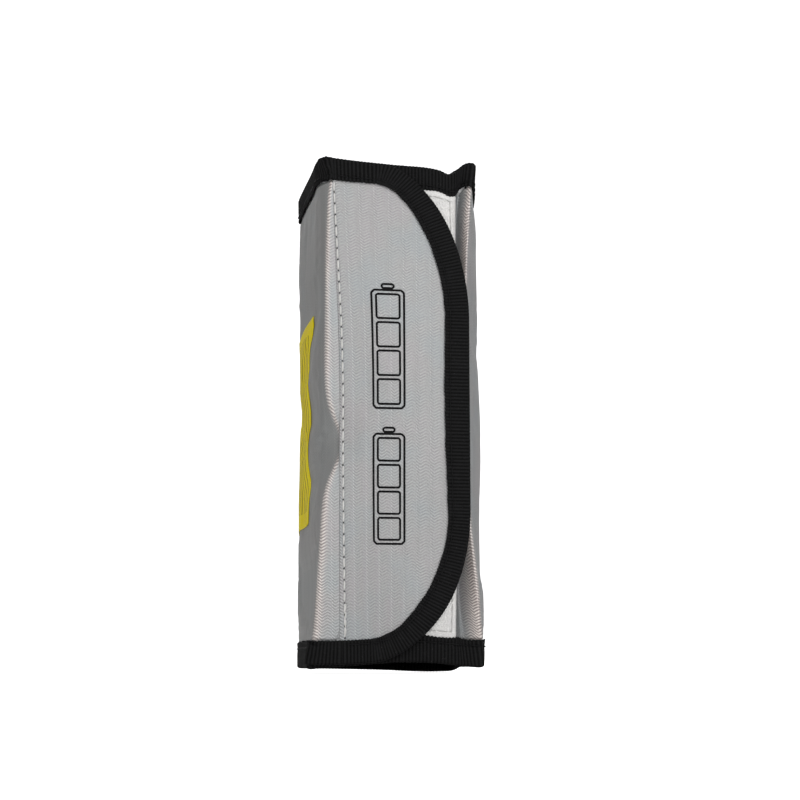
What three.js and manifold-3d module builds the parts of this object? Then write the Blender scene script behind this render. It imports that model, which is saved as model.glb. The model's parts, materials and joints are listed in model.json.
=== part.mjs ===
// A fire-resistant battery bag: a tall box sewn from coated glass cloth, open along the front, with a
// rounded flap that folds over the mouth and closes with hook-and-loop. Black tape binds every cut edge.
// Units are millimetres. X runs to the bag's right, Y to its back and Z up. The bag stands on its lower
// binding, and the origin is under the middle of the whole object.
import * as THREE from "three";
import { mergeVertices } from "three/addons/utils/BufferGeometryUtils.js";
import Module from "manifold-3d";

// ---- Driving dimensions ----
const HEIGHT = 185;
const BAG_WIDTH = 60; // across the outside of the cloth
const BAG_DEPTH = 72; // across the outside of the cloth
const FOLD_RADIUS = 5; // outside radius of the body's upright folds
const CLOTH = 0.8;
const LAYER_GAP = 0.1; // between two layers that are sewn together
const THREAD_GAP = 0.05; // between a thread and the layer it lies on
const MOUTH_GAP = 0.5; // between the closed flap and what it closes over
const TAPE = 0.8; // thickness of the binding tape
const TAPE_WIDTH = 9; // how far the folded tape reaches in from an edge
const LIP_WIDTH = 30; // front strip of the body that carries the loop tape
const HEM_WIDTH = 8; // cloth turned back behind the lip's free edge
const END_RECESS = 10.5; // how deep an end panel sits inside its seam
const FLAP_TOP = 184;
const FLAP_BOTTOM = 2;
const FLAP_RIGHT = 22.8; // free edge of the flap
const TOP_CORNER = { x: 31, z: 58 }; // reach of the flap's upper corner along its two edges
const BOTTOM_CORNER = { x: 36, z: 42 }; // reach of its lower corner
const CORNER_FULLNESS = 0.45; // 0.55 would make the corners true ellipses; these are a little flatter
const HINGE_STRIP_WIDTH = 6.4; // from the bag's front fold to the flap's seam
const FOLD_NOSE = 0.5; // radius of the rolled cloth at a fold line
const FOLD_CLEARANCE = 0.15; // between a rolled edge and the cloth it turns against
const TAPE_CLEARANCE = 1.6; // the thick tape stops this far from a fold line
const LOOP = { width: 19.5, length: 165, thickness: 0.8, fromRight: 10 };
const HOOK = { width: 12, length: 80, thickness: 0.8, middle: 85 };
const LABEL = { width: 44, length: 77, thickness: 0.25, middle: 8 };
const STITCH = { length: 4.1, thread: 0.3, wide: 0.3, narrow: 0.12, inset: 2 };
const SMOOTH = 7; // segments in each rounded fold
const SMOOTH_FLAP = 14; // segments in each of the flap's corners

// ---- Derived places ----
const HALF_X = BAG_WIDTH / 2;
const HALF_Y = BAG_DEPTH / 2;
const FRONT = -HALF_Y; // outside of the lip
const TAPE_OUT = LAYER_GAP + TAPE; // the tape's outside, measured from the cloth it covers
const LOOP_FACE = FRONT - LAYER_GAP - LOOP.thickness;
const FLAP_INSIDE_TAPE = LOOP_FACE - MOUTH_GAP; // the inner leg of the flap's binding
const FLAP_BACK = FLAP_INSIDE_TAPE - TAPE_OUT; // inner face of the flap's cloth
const FLAP_FACE = FLAP_BACK - CLOTH; // outer face of the flap's cloth
const FLAP_OUTSIDE_TAPE = FLAP_FACE - TAPE_OUT;
const FLAP_MIDDLE = (FLAP_BACK + FLAP_FACE) / 2;
const FOLD_X = -HALF_X + CLOTH / 2; // the flap's fold line, over the left wall
const SEAM_X = FOLD_X + HINGE_STRIP_WIDTH; // the flap's sewn line
const THREAD_OUT = THREAD_GAP + STITCH.thread; // a thread's outside, measured from the layer under it
const FRONT_EXTENT = -FLAP_OUTSIDE_TAPE + THREAD_OUT;
const BACK_EXTENT = HALF_Y + TAPE_OUT + THREAD_OUT;
const DEPTH_SHIFT = (FRONT_EXTENT - BACK_EXTENT) / 2; // puts the origin under the middle

// ---- Materials ----
const finish = (color, roughness, metalness) =>
  new THREE.MeshStandardMaterial({ color, roughness, metalness });
const SILVER_CLOTH = finish(0xb4b6b5, 0.42, 0.55);
const BLACK_TAPE = finish(0x151515, 0.85, 0);
const WHITE_NAP = finish(0xd8d6d1, 0.95, 0);
const WHITE_THREAD = finish(0xf2f0ea, 0.7, 0);
const BLACK_THREAD = finish(0x0c0c0c, 0.75, 0);
const YELLOW_FILM = finish(0xe6cf1e, 0.5, 0);

// ---- Solids: joining and cutting ----
const wasm = await Module();
wasm.setup();

function solid(geometry) {
  const bare = geometry.clone();
  bare.deleteAttribute("normal");
  bare.deleteAttribute("uv");
  const merged = mergeVertices(bare, 1e-4);
  return new wasm.Manifold(
    new wasm.Mesh({
      numProp: 3,
      vertProperties: new Float32Array(merged.attributes.position.array),
      triVerts: new Uint32Array(merged.index.array),
    }),
  );
}

function geometryOf(body) {
  const mesh = body.getMesh();
  const geometry = new THREE.BufferGeometry();
  geometry.setAttribute("position", new THREE.BufferAttribute(mesh.vertProperties, 3));
  geometry.setIndex(new THREE.BufferAttribute(mesh.triVerts, 1));
  geometry.computeVertexNormals();
  return geometry;
}

// ---- Extrusions along each axis ----
// An outline in X and Y, raised from low to high.
function upright(shape, low, high) {
  const options = { depth: high - low, bevelEnabled: false, curveSegments: SMOOTH };
  return new THREE.ExtrudeGeometry(shape, options).translate(0, 0, low);
}

// An outline in X and Z, filling the depth from front to back.
function sheet(shape, front, back) {
  const options = { depth: back - front, bevelEnabled: false, curveSegments: SMOOTH_FLAP };
  return new THREE.ExtrudeGeometry(shape, options).rotateX(Math.PI / 2).translate(0, back, 0);
}

// An outline in Y and Z, filling the width from left to right.
function crosswise(shape, left, right) {
  const turn = new THREE.Matrix4().set(0, 0, 1, left, 1, 0, 0, 0, 0, 1, 0, 0, 0, 0, 0, 1);
  const options = { depth: right - left, bevelEnabled: false };
  return new THREE.ExtrudeGeometry(shape, options).applyMatrix4(turn);
}

function block(x0, x1, y0, y1, z0, z1) {
  const geometry = new THREE.BoxGeometry(x1 - x0, y1 - y0, z1 - z0);
  return geometry.translate((x0 + x1) / 2, (y0 + y1) / 2, (z0 + z1) / 2);
}

function polygon(points) {
  return new THREE.Shape(points.map(([a, b]) => new THREE.Vector2(a, b)));
}

// The bag's plan outline, moved out by `out` (or in, when negative).
function planOutline(out) {
  const x = HALF_X + out;
  const y = HALF_Y + out;
  const r = FOLD_RADIUS + out;
  const shape = new THREE.Shape();
  shape.absarc(x - r, y - r, r, 0, Math.PI / 2);
  shape.absarc(-x + r, y - r, r, Math.PI / 2, Math.PI);
  shape.absarc(-x + r, -y + r, r, Math.PI, 1.5 * Math.PI);
  shape.absarc(x - r, -y + r, r, 1.5 * Math.PI, 2 * Math.PI);
  shape.closePath();
  return shape;
}

// The flap's outline in X and Z, moved in by `inset` from its bound edge, and cut off at `left`.
function flapOutline(inset, left) {
  const shape = new THREE.Shape();
  const corner = (from, to, bend) => {
    const pull = (start) => start.clone().lerp(bend, CORNER_FULLNESS);
    const [a, b] = [pull(from), pull(to)];
    shape.lineTo(from.x, from.y);
    shape.bezierCurveTo(a.x, a.y, b.x, b.y, to.x, to.y);
  };
  const right = FLAP_RIGHT - inset;
  const [low, high] = [FLAP_BOTTOM + inset, FLAP_TOP - inset];
  const at = (x, z) => new THREE.Vector2(x, z);
  shape.moveTo(left, low);
  const lowEnd = at(right, FLAP_BOTTOM + BOTTOM_CORNER.z);
  corner(at(FLAP_RIGHT - BOTTOM_CORNER.x, low), lowEnd, at(right, low));
  const highEnd = at(FLAP_RIGHT - TOP_CORNER.x, high);
  corner(at(right, FLAP_TOP - TOP_CORNER.z), highEnd, at(right, high));
  shape.lineTo(left, high);
  return shape;
}

// ---- Threads ----
// A row of stitches along a path: one thread, widest in the middle of a stitch and pinched where it
// dives into a needle hole. The result is an outline in the path's own plane.
function stitchOutline(path) {
  const count = Math.round(path.getLength() / STITCH.length);
  const sides = [[], []];
  for (let i = 0; i <= 2 * count; i++) {
    const at = path.getPointAt(i / (2 * count));
    const along = path.getTangentAt(Math.min(Math.max(i / (2 * count), 1e-4), 1 - 1e-4));
    const half = i % 2 ? STITCH.wide : STITCH.narrow;
    sides[0].push(new THREE.Vector2(at.x + along.y * half, at.y - along.x * half));
    sides[1].push(new THREE.Vector2(at.x - along.y * half, at.y + along.x * half));
  }
  return new THREE.Shape([...sides[0], ...sides[1].reverse()]);
}

// The same row of stitches where it runs round the bag on edge, standing out from the tape.
function ringOfStitches(out) {
  const inner = planOutline(out);
  const count = Math.round(inner.getLength() / STITCH.length);
  const outer = [];
  for (let i = 0; i < 2 * count; i++) {
    const at = inner.getPointAt(i / (2 * count));
    const along = inner.getTangentAt(i / (2 * count));
    const height = i % 2 ? STITCH.thread : STITCH.thread / 2;
    outer.push(new THREE.Vector2(at.x + along.y * height, at.y - along.x * height));
  }
  const shape = new THREE.Shape(outer);
  shape.holes.push(new THREE.Path(planOutline(out).getPoints(SMOOTH)));
  return shape;
}

// ---- The body ----
// One length of cloth folded round the bag: left wall, back, right wall and the front lip with its hem.
function bodyWrap() {
  const r = FOLD_RADIUS;
  const inner = r - CLOTH;
  const wallEnd = FLAP_MIDDLE + FOLD_NOSE + FOLD_CLEARANCE;
  const lipEdge = HALF_X - LIP_WIDTH;
  const hemBack = FRONT + 2 * CLOTH + LAYER_GAP;
  const plan = new THREE.Shape();
  plan.moveTo(-HALF_X + CLOTH, wallEnd);
  plan.absarc(-HALF_X + r, HALF_Y - r, inner, Math.PI, Math.PI / 2, true);
  plan.absarc(HALF_X - r, HALF_Y - r, inner, Math.PI / 2, 0, true);
  plan.absarc(HALF_X - r, FRONT + r, inner, 0, -Math.PI / 2, true);
  plan.lineTo(lipEdge + HEM_WIDTH, FRONT + CLOTH);
  plan.lineTo(lipEdge + HEM_WIDTH, hemBack);
  plan.lineTo(lipEdge, hemBack);
  plan.lineTo(lipEdge, FRONT);
  plan.absarc(HALF_X - r, FRONT + r, r, -Math.PI / 2, 0);
  plan.absarc(HALF_X - r, HALF_Y - r, r, 0, Math.PI / 2);
  plan.absarc(-HALF_X + r, HALF_Y - r, r, Math.PI / 2, Math.PI);
  plan.lineTo(-HALF_X, wallEnd);
  let body = solid(upright(plan, TAPE_OUT, HEIGHT - TAPE_OUT));
  // Inside the end seams the front fold and the hem are trimmed away.
  const trim = END_RECESS + 1;
  for (const [low, high] of [[-1, trim], [HEIGHT - trim, HEIGHT + 1]]) {
    body = body.subtract(solid(block(-HALF_X - 1, -HALF_X + 2, wallEnd - 2, FRONT + r, low, high)));
    body = body.subtract(
      solid(block(lipEdge - 1, lipEdge + HEM_WIDTH + 1, FRONT + CLOTH, hemBack + 1, low, high)),
    );
  }
  return geometryOf(body);
}

// An end panel: a flat rectangle whose edges turn outwards into the seam.
function endPanel() {
  const out = -CLOTH - LAYER_GAP;
  const tray = solid(upright(planOutline(out), TAPE_OUT, END_RECESS + CLOTH));
  const hollow = solid(upright(planOutline(out - CLOTH), TAPE_OUT - 1, END_RECESS));
  return geometryOf(tray.subtract(hollow));
}

// Tape folded over an end seam all the way round: an outer leg, the fold and an inner leg.
function endBinding() {
  const innerFace = -2 * CLOTH - LAYER_GAP; // inside of the end panel's turned edge
  const whole = solid(upright(planOutline(TAPE_OUT), 0, TAPE_WIDTH));
  const middle = solid(upright(planOutline(innerFace - TAPE_OUT), -1, TAPE_WIDTH + 1));
  const slotOut = solid(upright(planOutline(LAYER_GAP), TAPE, TAPE_WIDTH + 1));
  const slotIn = solid(upright(planOutline(innerFace - LAYER_GAP), TAPE - 1, TAPE_WIDTH + 2));
  return geometryOf(whole.subtract(middle).subtract(slotOut.subtract(slotIn)));
}

function endBindingThread() {
  const middle = TAPE_WIDTH - STITCH.inset;
  const ring = ringOfStitches(TAPE_OUT + THREAD_GAP);
  return upright(ring, middle - STITCH.wide, middle + STITCH.wide);
}

// ---- The closure ----
const loopRight = HALF_X - LOOP.fromRight;
const loopLeft = loopRight - LOOP.width;
const loopLow = (HEIGHT - LOOP.length) / 2;

function loopStrip() {
  return block(loopLeft, loopRight, LOOP_FACE, FRONT - LAYER_GAP, loopLow, loopLow + LOOP.length);
}

// A rectangle of thread sewn just inside the edges of a strip; `front` is the thread's own front.
function stitchBox(left, right, low, high, front) {
  const [x0, x1] = [left + STITCH.inset, right - STITCH.inset];
  const [z0, z1] = [low + STITCH.inset, high - STITCH.inset];
  const half = STITCH.narrow;
  const back = front + STITCH.thread;
  const frame = solid(block(x0 - half, x1 + half, front, back, z0 - half, z1 + half)).subtract(
    solid(block(x0 + half, x1 - half, front - 1, back + 1, z0 + half, z1 - half)),
  );
  const columns = [x0, x1].map((x) => solid(stitchColumn(x, z0, z1, front)));
  return geometryOf(frame.add(columns[0]).add(columns[1]));
}

function loopStripThread() {
  return stitchBox(loopLeft, loopRight, loopLow, loopLow + LOOP.length, LOOP_FACE - THREAD_OUT);
}

// A straight upright row of stitches; `front` is the thread's own front.
function stitchColumn(x, low, high, front) {
  const path = new THREE.LineCurve(new THREE.Vector2(x, low), new THREE.Vector2(x, high));
  return sheet(stitchOutline(path), front, front + STITCH.thread);
}

const hookRight = FLAP_RIGHT - TAPE_WIDTH - LAYER_GAP;
const hookLeft = hookRight - HOOK.width;
const hookLow = HOOK.middle - HOOK.length / 2;
const hookFace = FLAP_BACK + LAYER_GAP + HOOK.thickness;

function hookStrip() {
  return block(hookLeft, hookRight, FLAP_BACK + LAYER_GAP, hookFace, hookLow, hookLow + HOOK.length);
}

function hookStripThread() {
  return stitchBox(hookLeft, hookRight, hookLow, hookLow + HOOK.length, hookFace + THREAD_GAP);
}

function sideLabel() {
  const outside = -HALF_X - LAYER_GAP;
  const middle = HEIGHT / 2;
  return block(
    outside - LABEL.thickness, outside,
    LABEL.middle - LABEL.width / 2, LABEL.middle + LABEL.width / 2,
    middle - LABEL.length / 2, middle + LABEL.length / 2,
  );
}

// ---- The flap ----
const clothLow = FLAP_BOTTOM + TAPE_OUT;
const clothHigh = FLAP_TOP - TAPE_OUT;

// A rolled edge of cloth along a fold line at x.
function rolledEdge(x) {
  const roll = new THREE.CylinderGeometry(FOLD_NOSE, FOLD_NOSE, clothHigh - clothLow, 12);
  return roll.rotateX(Math.PI / 2).translate(x, FLAP_MIDDLE, (clothLow + clothHigh) / 2);
}

// The strip between the bag's front fold and the flap's sewn line.
function hingeStrip() {
  const right = SEAM_X - FOLD_NOSE - FOLD_CLEARANCE;
  const strip = solid(block(FOLD_X, right, FLAP_FACE, FLAP_BACK, clothLow, clothHigh));
  return geometryOf(strip.add(solid(rolledEdge(FOLD_X))));
}

// A short length of binding over one end of the hinge strip; `edge` is its outer Z and `inward` is
// +1 where the tape reaches up and -1 where it reaches down.
function hingeBinding(edge, inward) {
  const z = (distance) => edge + inward * distance;
  const profile = [
    [FLAP_OUTSIDE_TAPE, z(TAPE_WIDTH)], [FLAP_OUTSIDE_TAPE, z(0)],
    [FLAP_INSIDE_TAPE, z(0)], [FLAP_INSIDE_TAPE, z(TAPE_WIDTH)],
    [FLAP_INSIDE_TAPE - TAPE, z(TAPE_WIDTH)], [FLAP_INSIDE_TAPE - TAPE, z(TAPE)],
    [FLAP_OUTSIDE_TAPE + TAPE, z(TAPE)], [FLAP_OUTSIDE_TAPE + TAPE, z(TAPE_WIDTH)],
  ];
  return crosswise(polygon(profile), FOLD_X + TAPE_CLEARANCE, SEAM_X - TAPE_CLEARANCE);
}

function flapPanel() {
  const cloth = solid(sheet(flapOutline(TAPE_OUT, SEAM_X), FLAP_FACE, FLAP_BACK));
  return geometryOf(cloth.add(solid(rolledEdge(SEAM_X))));
}

// Tape folded over the flap's cut edge, along the top, round both corners and along the bottom.
function flapBinding() {
  const left = SEAM_X + TAPE_CLEARANCE;
  const whole = solid(sheet(flapOutline(0, left), FLAP_OUTSIDE_TAPE, FLAP_INSIDE_TAPE));
  const window = solid(sheet(flapOutline(TAPE_WIDTH, left - 1), FLAP_OUTSIDE_TAPE - 1, FRONT));
  const slot = solid(
    sheet(flapOutline(TAPE, left - 1), FLAP_OUTSIDE_TAPE + TAPE, FLAP_INSIDE_TAPE - TAPE),
  );
  return geometryOf(whole.subtract(window).subtract(slot));
}

function flapBindingThread() {
  const edge = flapOutline(TAPE_WIDTH - STITCH.inset, SEAM_X + 2 * TAPE_CLEARANCE);
  return sheet(stitchOutline(edge), FLAP_OUTSIDE_TAPE - THREAD_OUT, FLAP_OUTSIDE_TAPE - THREAD_GAP);
}

function flapSeamThread() {
  const low = FLAP_BOTTOM + TAPE_WIDTH + STITCH.wide;
  const high = FLAP_TOP - TAPE_WIDTH - STITCH.wide;
  return stitchColumn(SEAM_X + 4 * STITCH.wide, low, high, FLAP_FACE - THREAD_OUT);
}

// ---- Assembly ----
const bag = new THREE.Group();
const hinge = new THREE.Group();
const flap = new THREE.Group();

function place(group, name, geometry, material) {
  const mesh = new THREE.Mesh(geometry, material);
  mesh.name = name;
  group.add(mesh);
  return mesh;
}

// The upper end repeats the lower one, turned over about the bag's width.
function placeAtBothEnds(part, geometry, material) {
  place(bag, `bottom_${part}`, geometry, material);
  const top = place(bag, `top_${part}`, geometry, material);
  top.rotation.x = Math.PI;
  top.position.z = HEIGHT;
}

place(bag, "body_wrap", bodyWrap(), SILVER_CLOTH);
placeAtBothEnds("end_panel", endPanel(), SILVER_CLOTH);
placeAtBothEnds("end_binding", endBinding(), BLACK_TAPE);
placeAtBothEnds("binding_thread", endBindingThread(), BLACK_THREAD);
place(bag, "loop_strip", loopStrip(), WHITE_NAP);
place(bag, "loop_strip_thread", loopStripThread(), WHITE_THREAD);
place(bag, "side_label", sideLabel(), YELLOW_FILM);

place(hinge, "hinge_strip", hingeStrip(), SILVER_CLOTH);
place(hinge, "hinge_binding_bottom", hingeBinding(FLAP_BOTTOM, 1), BLACK_TAPE);
place(hinge, "hinge_binding_top", hingeBinding(FLAP_TOP, -1), BLACK_TAPE);

place(flap, "flap_panel", flapPanel(), SILVER_CLOTH);
place(flap, "flap_binding", flapBinding(), BLACK_TAPE);
place(flap, "flap_binding_thread", flapBindingThread(), BLACK_THREAD);
place(flap, "flap_seam_thread", flapSeamThread(), WHITE_THREAD);
place(flap, "hook_strip", hookStrip(), WHITE_NAP);
place(flap, "hook_strip_thread", hookStripThread(), WHITE_THREAD);

const batteryBag = new THREE.Group();
batteryBag.add(bag, hinge, flap);
batteryBag.position.y = DEPTH_SHIFT;

export default batteryBag;
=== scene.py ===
"""Looks for the battery safety bag: a tall bag sewn from silver-coated glass cloth, bound with black tape,
with a round-cornered flap over its mouth. Lengths are in millimetres until a mesh is made."""

import json
import math

import bpy
import numpy as np
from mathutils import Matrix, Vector


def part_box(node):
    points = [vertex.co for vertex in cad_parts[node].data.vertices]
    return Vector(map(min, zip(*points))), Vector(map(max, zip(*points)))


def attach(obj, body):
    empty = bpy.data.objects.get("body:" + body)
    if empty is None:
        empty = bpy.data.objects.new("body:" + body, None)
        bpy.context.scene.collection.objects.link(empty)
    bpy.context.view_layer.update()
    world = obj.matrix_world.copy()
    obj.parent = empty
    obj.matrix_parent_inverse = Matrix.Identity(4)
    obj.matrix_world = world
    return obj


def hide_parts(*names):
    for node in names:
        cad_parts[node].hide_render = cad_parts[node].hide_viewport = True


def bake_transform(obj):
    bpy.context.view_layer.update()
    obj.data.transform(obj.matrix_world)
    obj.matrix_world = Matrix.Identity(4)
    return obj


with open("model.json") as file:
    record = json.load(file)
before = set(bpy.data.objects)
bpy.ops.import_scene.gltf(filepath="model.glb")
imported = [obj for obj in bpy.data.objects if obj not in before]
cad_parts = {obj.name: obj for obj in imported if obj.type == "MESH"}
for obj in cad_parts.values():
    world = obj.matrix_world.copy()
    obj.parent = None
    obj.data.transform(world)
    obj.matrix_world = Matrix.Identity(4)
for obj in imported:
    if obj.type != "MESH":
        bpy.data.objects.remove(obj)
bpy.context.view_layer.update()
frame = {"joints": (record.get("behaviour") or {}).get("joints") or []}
scene = bpy.context.scene
MM = 0.001


def node_box(name):
    """A CAD node's lowest and highest corners, in millimetres."""
    low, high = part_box(name)
    return np.array(low) / MM, np.array(high) / MM


JOINTS = {j["name"]: np.array(j["pos_m"]) / MM for j in frame["joints"]}
WRAP_LOW, WRAP_HIGH = node_box("body_wrap")
LOOP_LOW, LOOP_HIGH = node_box("loop_strip")
HOOK_LOW, HOOK_HIGH = node_box("hook_strip")
LABEL_LOW, LABEL_HIGH = node_box("side_label")
FLAP_LOW, FLAP_HIGH = node_box("flap_binding")
THREAD_LOW, THREAD_HIGH = node_box("flap_seam_thread")

# ---- Places taken from the frame
HEIGHT = WRAP_HIGH[2] + WRAP_LOW[2]
CLOTH = 0.7
HALF_CLOTH = CLOTH / 2
LIP_Y = LOOP_HIGH[1] + 0.1 + HALF_CLOTH  # middle of the lip's cloth
BACK_Y = WRAP_HIGH[1] - HALF_CLOTH
FOLD_AXIS = JOINTS["flap_fold"]
FOLD_X = FOLD_AXIS[0]
SEAM_AXIS = JOINTS["seam_fold"]
FLAP_Y = SEAM_AXIS[1]  # middle of the flap's cloth
SEAM_X = (THREAD_LOW[0] + THREAD_HIGH[0]) / 2
LIP_EDGE = LOOP_LOW[0] - 0.5

# ---- The sewn shape
# How far along the body's cloth each upright line lies, starting from the lip's free edge.
AT_VALLEY, AT_RIDGE, AT_RIGHT, AT_BACK_RIGHT = 22.3, 27.0, 46.0, 101.0
AT_BACK_LEFT, AT_LEFT, AT_FOLD, AT_END = 161.0, 190.0, 235.0, 242.0
# Upright lines as (height, x): the cloth is softer than the pattern it was cut from.
FOLD_LINE = [
    (0, -33.2), (12, -31.3), (34, -29.8), (55, -28.5), (110, -27.7), (150, -27.6), (170, -26.9),
    (178, -26.4), (185, -28.8),
]
SEAM_LINE = [(0, -20.0), (60, -21.1), (110, -21.7), (125, -22.3), (140, -23.2), (176, -25.3), (185, -25.7)]
RIDGE_LINE = [
    (0, 28.4), (10, 28.5), (18, 27.8), (30, 27.0), (38, 26.2), (50, 24.8), (90, 24.0),
    (143, 23.7), (170, 25.4), (185, 27.0),
]
RIGHT_LINE = [
    (0, 29.8), (8, 31.2), (14, 31.6), (26, 31.6), (45, 31.6), (100, 31.1), (125, 30.5),
    (150, 30.0), (168, 29.9), (177, 29.1), (185, 28.7),
]
REAR_LEFT_LINE = [
    (0, -30.3), (20, -30.5), (60, -30.4), (90, -30.0), (115, -30.3), (135, -31.2),
    (150, -31.7), (170, -31.8), (185, -32.2),
]
VALLEY_DEPTH = [(0, 0.6), (10, 2.6), (28, 4.6), (100, 4.8), (165, 4.6), (178, 3.0), (185, 1.6)]
# How far the left wall's front half stands in or out, by height.
WALL_WAVE = [
    (40, 0.0), (56, -0.4), (62, -0.4), (69.5, 0.0), (76, -0.8), (83.5, -0.8), (94.5, 1.2),
    (104, 0.2), (112, -0.7), (119, -0.6), (131, 1.2), (145, 0.0),
]
DENT_Z, DENT_WIDTH, DENT_DEPTH = 80.0, 11.5, 6.4  # the dent in the left front fold
# Rise of the upper and lower rims, as (place along the cloth, rise).
TOP_LIFT = [
    (0, -0.7), (9, -1.3), (14, -2.2), (17.4, -3.4), (21, -1.2), (24.3, 1.4), (27.5, 1.5),
    (31, 0.4), (45, -1.0), (64, -1.5), (101, -0.5), (131, -1.0), (161, 5.0), (185, 4.4),
    (212, 1.8), (229, 1.0), (236, 0.7), (242, 0.4),
]
BOTTOM_LIFT = [
    (0, 4.0), (8, 3.9), (20, 2.9), (29, 2.3), (46, 2.2), (70, 2.1), (86, 1.7), (94, 0.8),
    (101, 0.2), (108, 0.0), (131, 0.7), (161, 1.3), (185, 1.6), (212, 1.7), (228, 1.7), (242, 1.7),
]
# The flap's rounded corners: where each leaves the sides, and how full its curve is.
TOP_CORNER, BOTTOM_CORNER = (31.0, 58.0), (36.0, 56.0)
TOP_FULLNESS, BOTTOM_FULLNESS = 0.485, 0.56
# How much of the tape's width its turn takes up, by the share of the way round the flap.
TAPE_LOSS = [
    (0, 0.7), (0.1, 1.1), (0.2, 0.6), (0.33, 0.4), (0.42, 0.1), (0.55, 0.2), (0.62, 0.8),
    (0.7, 1.2), (0.78, 0.8), (0.88, 0.8), (1.0, 0.8),
]
TAPE_WIDTH = 8.8
CHANNEL = 7.0  # the tape is stitched this far in from its fold
RIB_PITCH = 1.25
RING_STEP = RIB_PITCH / 5
SEAM_LAP = 1.3  # how far the hinge cloth reaches past the flap's seam
LOOP_REACH = 8.9  # the loop strip starts this far from the bag's ends, just inside the tape
LABEL_FRONT_Y = -9.0
COLUMN, BEAD_PITCH = 4.64, 1.1  # the herringbone's repeat, across and up
STITCH = 4.1
PRINT_LEFT, PRINT_WIDTH, PRINT_STROKE = -11.0, 11.4, 0.75
# The camera, in metres and degrees: low, from the bag's left, looking up a little.
CAMERA_PLACE, CAMERA_RISE, CAMERA_TURN = (-0.0750, -0.5636, 0.0075), 9.47, -8.0
LENS = 68.157


# ---- Small maths
def ease(low, high, x):
    """A smooth step from 0 at low to 1 at high; low may be the larger."""
    t = np.clip((x - low) / (high - low), 0, 1)
    return t * t * (3 - 2 * t)


def hump(centre, width, x):
    """A bell of height 1."""
    return np.exp(-(((x - centre) / width) ** 2))


def curve(knots, x):
    """A smooth line through the knots, level beyond them."""
    xs, ys = np.array(knots, float).T
    slopes = np.gradient(ys, xs)
    x = np.clip(x, xs[0], xs[-1])
    i = np.clip(np.searchsorted(xs, x) - 1, 0, len(xs) - 2)
    span = xs[i + 1] - xs[i]
    return hermite(ys[i], ys[i + 1], slopes[i], slopes[i + 1], span, (x - xs[i]) / span)


def hermite(a, b, slope_a, slope_b, span, t):
    """From a to b with the given slopes, t running from 0 to 1 over the span."""
    t2, t3 = t * t, t * t * t
    ends = a * (2 * t3 - 3 * t2 + 1) + b * (3 * t2 - 2 * t3)
    return ends + span * (slope_a * (t3 - 2 * t2 + t) + slope_b * (t3 - t2))


def unit(v):
    return v / np.maximum(np.linalg.norm(v, axis=-1, keepdims=True), 1e-9)


def beside(loop):
    """The direction to the right of a closed flat line, at each of its points."""
    along = unit(np.roll(loop, -1, axis=0) - np.roll(loop, 1, axis=0))
    return np.column_stack([along[:, 1], -along[:, 0]])


def distances(points):
    """The distance to each point along the first direction of a line or a grid."""
    steps = np.linalg.norm(np.diff(points, axis=0), axis=-1)
    return np.concatenate([np.zeros_like(steps[:1]), np.cumsum(steps, axis=0)])


def along_line(t, s, points):
    """Points at the distances t along a line whose points lie at the distances s."""
    return np.column_stack([np.interp(t, s, column) for column in points.T])


def resample(line, spacing):
    """Points evenly spaced along a line, and the distance to each."""
    line = line[np.diff(distances(line), prepend=-1) > 1e-6]
    at = distances(line)
    s = np.linspace(0, at[-1], int(round(at[-1] / spacing)) + 1)
    return along_line(s, at, line), s


# ---- The body's cloth as a lofted sheet
def body_lines(z):
    """The body's upright lines at height z, as (place along the cloth, x, y, creased)."""
    dent = hump(DENT_Z, DENT_WIDTH, z)
    foot = ease(30, 0, z)
    ends = foot + ease(160, 185, z)
    wave = curve(WALL_WAVE, z)
    bow = 1 - ends
    right = curve(RIGHT_LINE, z)
    return [
        (0, LIP_EDGE, LIP_Y, True),
        (18.5, 18.5, LIP_Y, False),
        (AT_VALLEY, 20.6 + 1.2 * ends, LIP_Y + curve(VALLEY_DEPTH, z), False),
        (AT_RIDGE, curve(RIDGE_LINE, z), LIP_Y - 0.9 + 0.6 * ends, True),
        (AT_RIGHT, right, LIP_Y + 17.5, False),
        (70, right + 0.2, 6, False),
        (AT_BACK_RIGHT, 30.0, BACK_Y, True),
        (131, 0, BACK_Y + 0.9 * bow, False),
        (AT_BACK_LEFT, curve(REAR_LEFT_LINE, z), BACK_Y, True),
        (AT_LEFT, -31.0 - 0.2 * bow + 0.5 * dent + 0.5 * wave, 8, False),
        (216, -30.4 + 0.3 * bow - 0.9 * foot + 1.7 * dent + wave, -18, False),
        (228, -29.9 + 0.5 * bow - 1.8 * foot + 4.0 * dent + 0.4 * wave, -30 + 0.4 * dent, False),
        (AT_FOLD, curve(FOLD_LINE, z) + DENT_DEPTH * dent, FLAP_Y + 0.15 + 1.2 * dent, True),
        (AT_END, curve(SEAM_LINE, z) + SEAM_LAP, FLAP_Y + 0.4, True),
    ]


def body_plan(u, z):
    """The sheet's x and y before its folds are rounded."""
    lines = body_lines(z)
    at = np.array([line[0] for line in lines], float)
    xy = np.stack([np.stack(np.broadcast_arrays(*line[1:3], z)[:2], -1) for line in lines])
    steps = np.diff(xy, axis=0) / np.diff(at)[:, None, None]
    before = np.concatenate([steps[:1], steps])
    after = np.concatenate([steps, steps[-1:]])
    smooth = np.array([0.0 if line[3] else 0.5 for line in lines])[:, None, None]
    leaving = after * (1 - smooth) + before * smooth
    arriving = before * (1 - smooth) + after * smooth
    i = np.clip(np.searchsorted(at, u, side="right") - 1, 0, len(at) - 2)
    k = np.arange(len(u))
    span = (at[i + 1] - at[i])[:, None]
    t = ((u - at[i]) / (at[i + 1] - at[i]))[:, None]
    return hermite(xy[i, k], xy[i + 1, k], leaving[i, k], arriving[i + 1, k], span, t)


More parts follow.
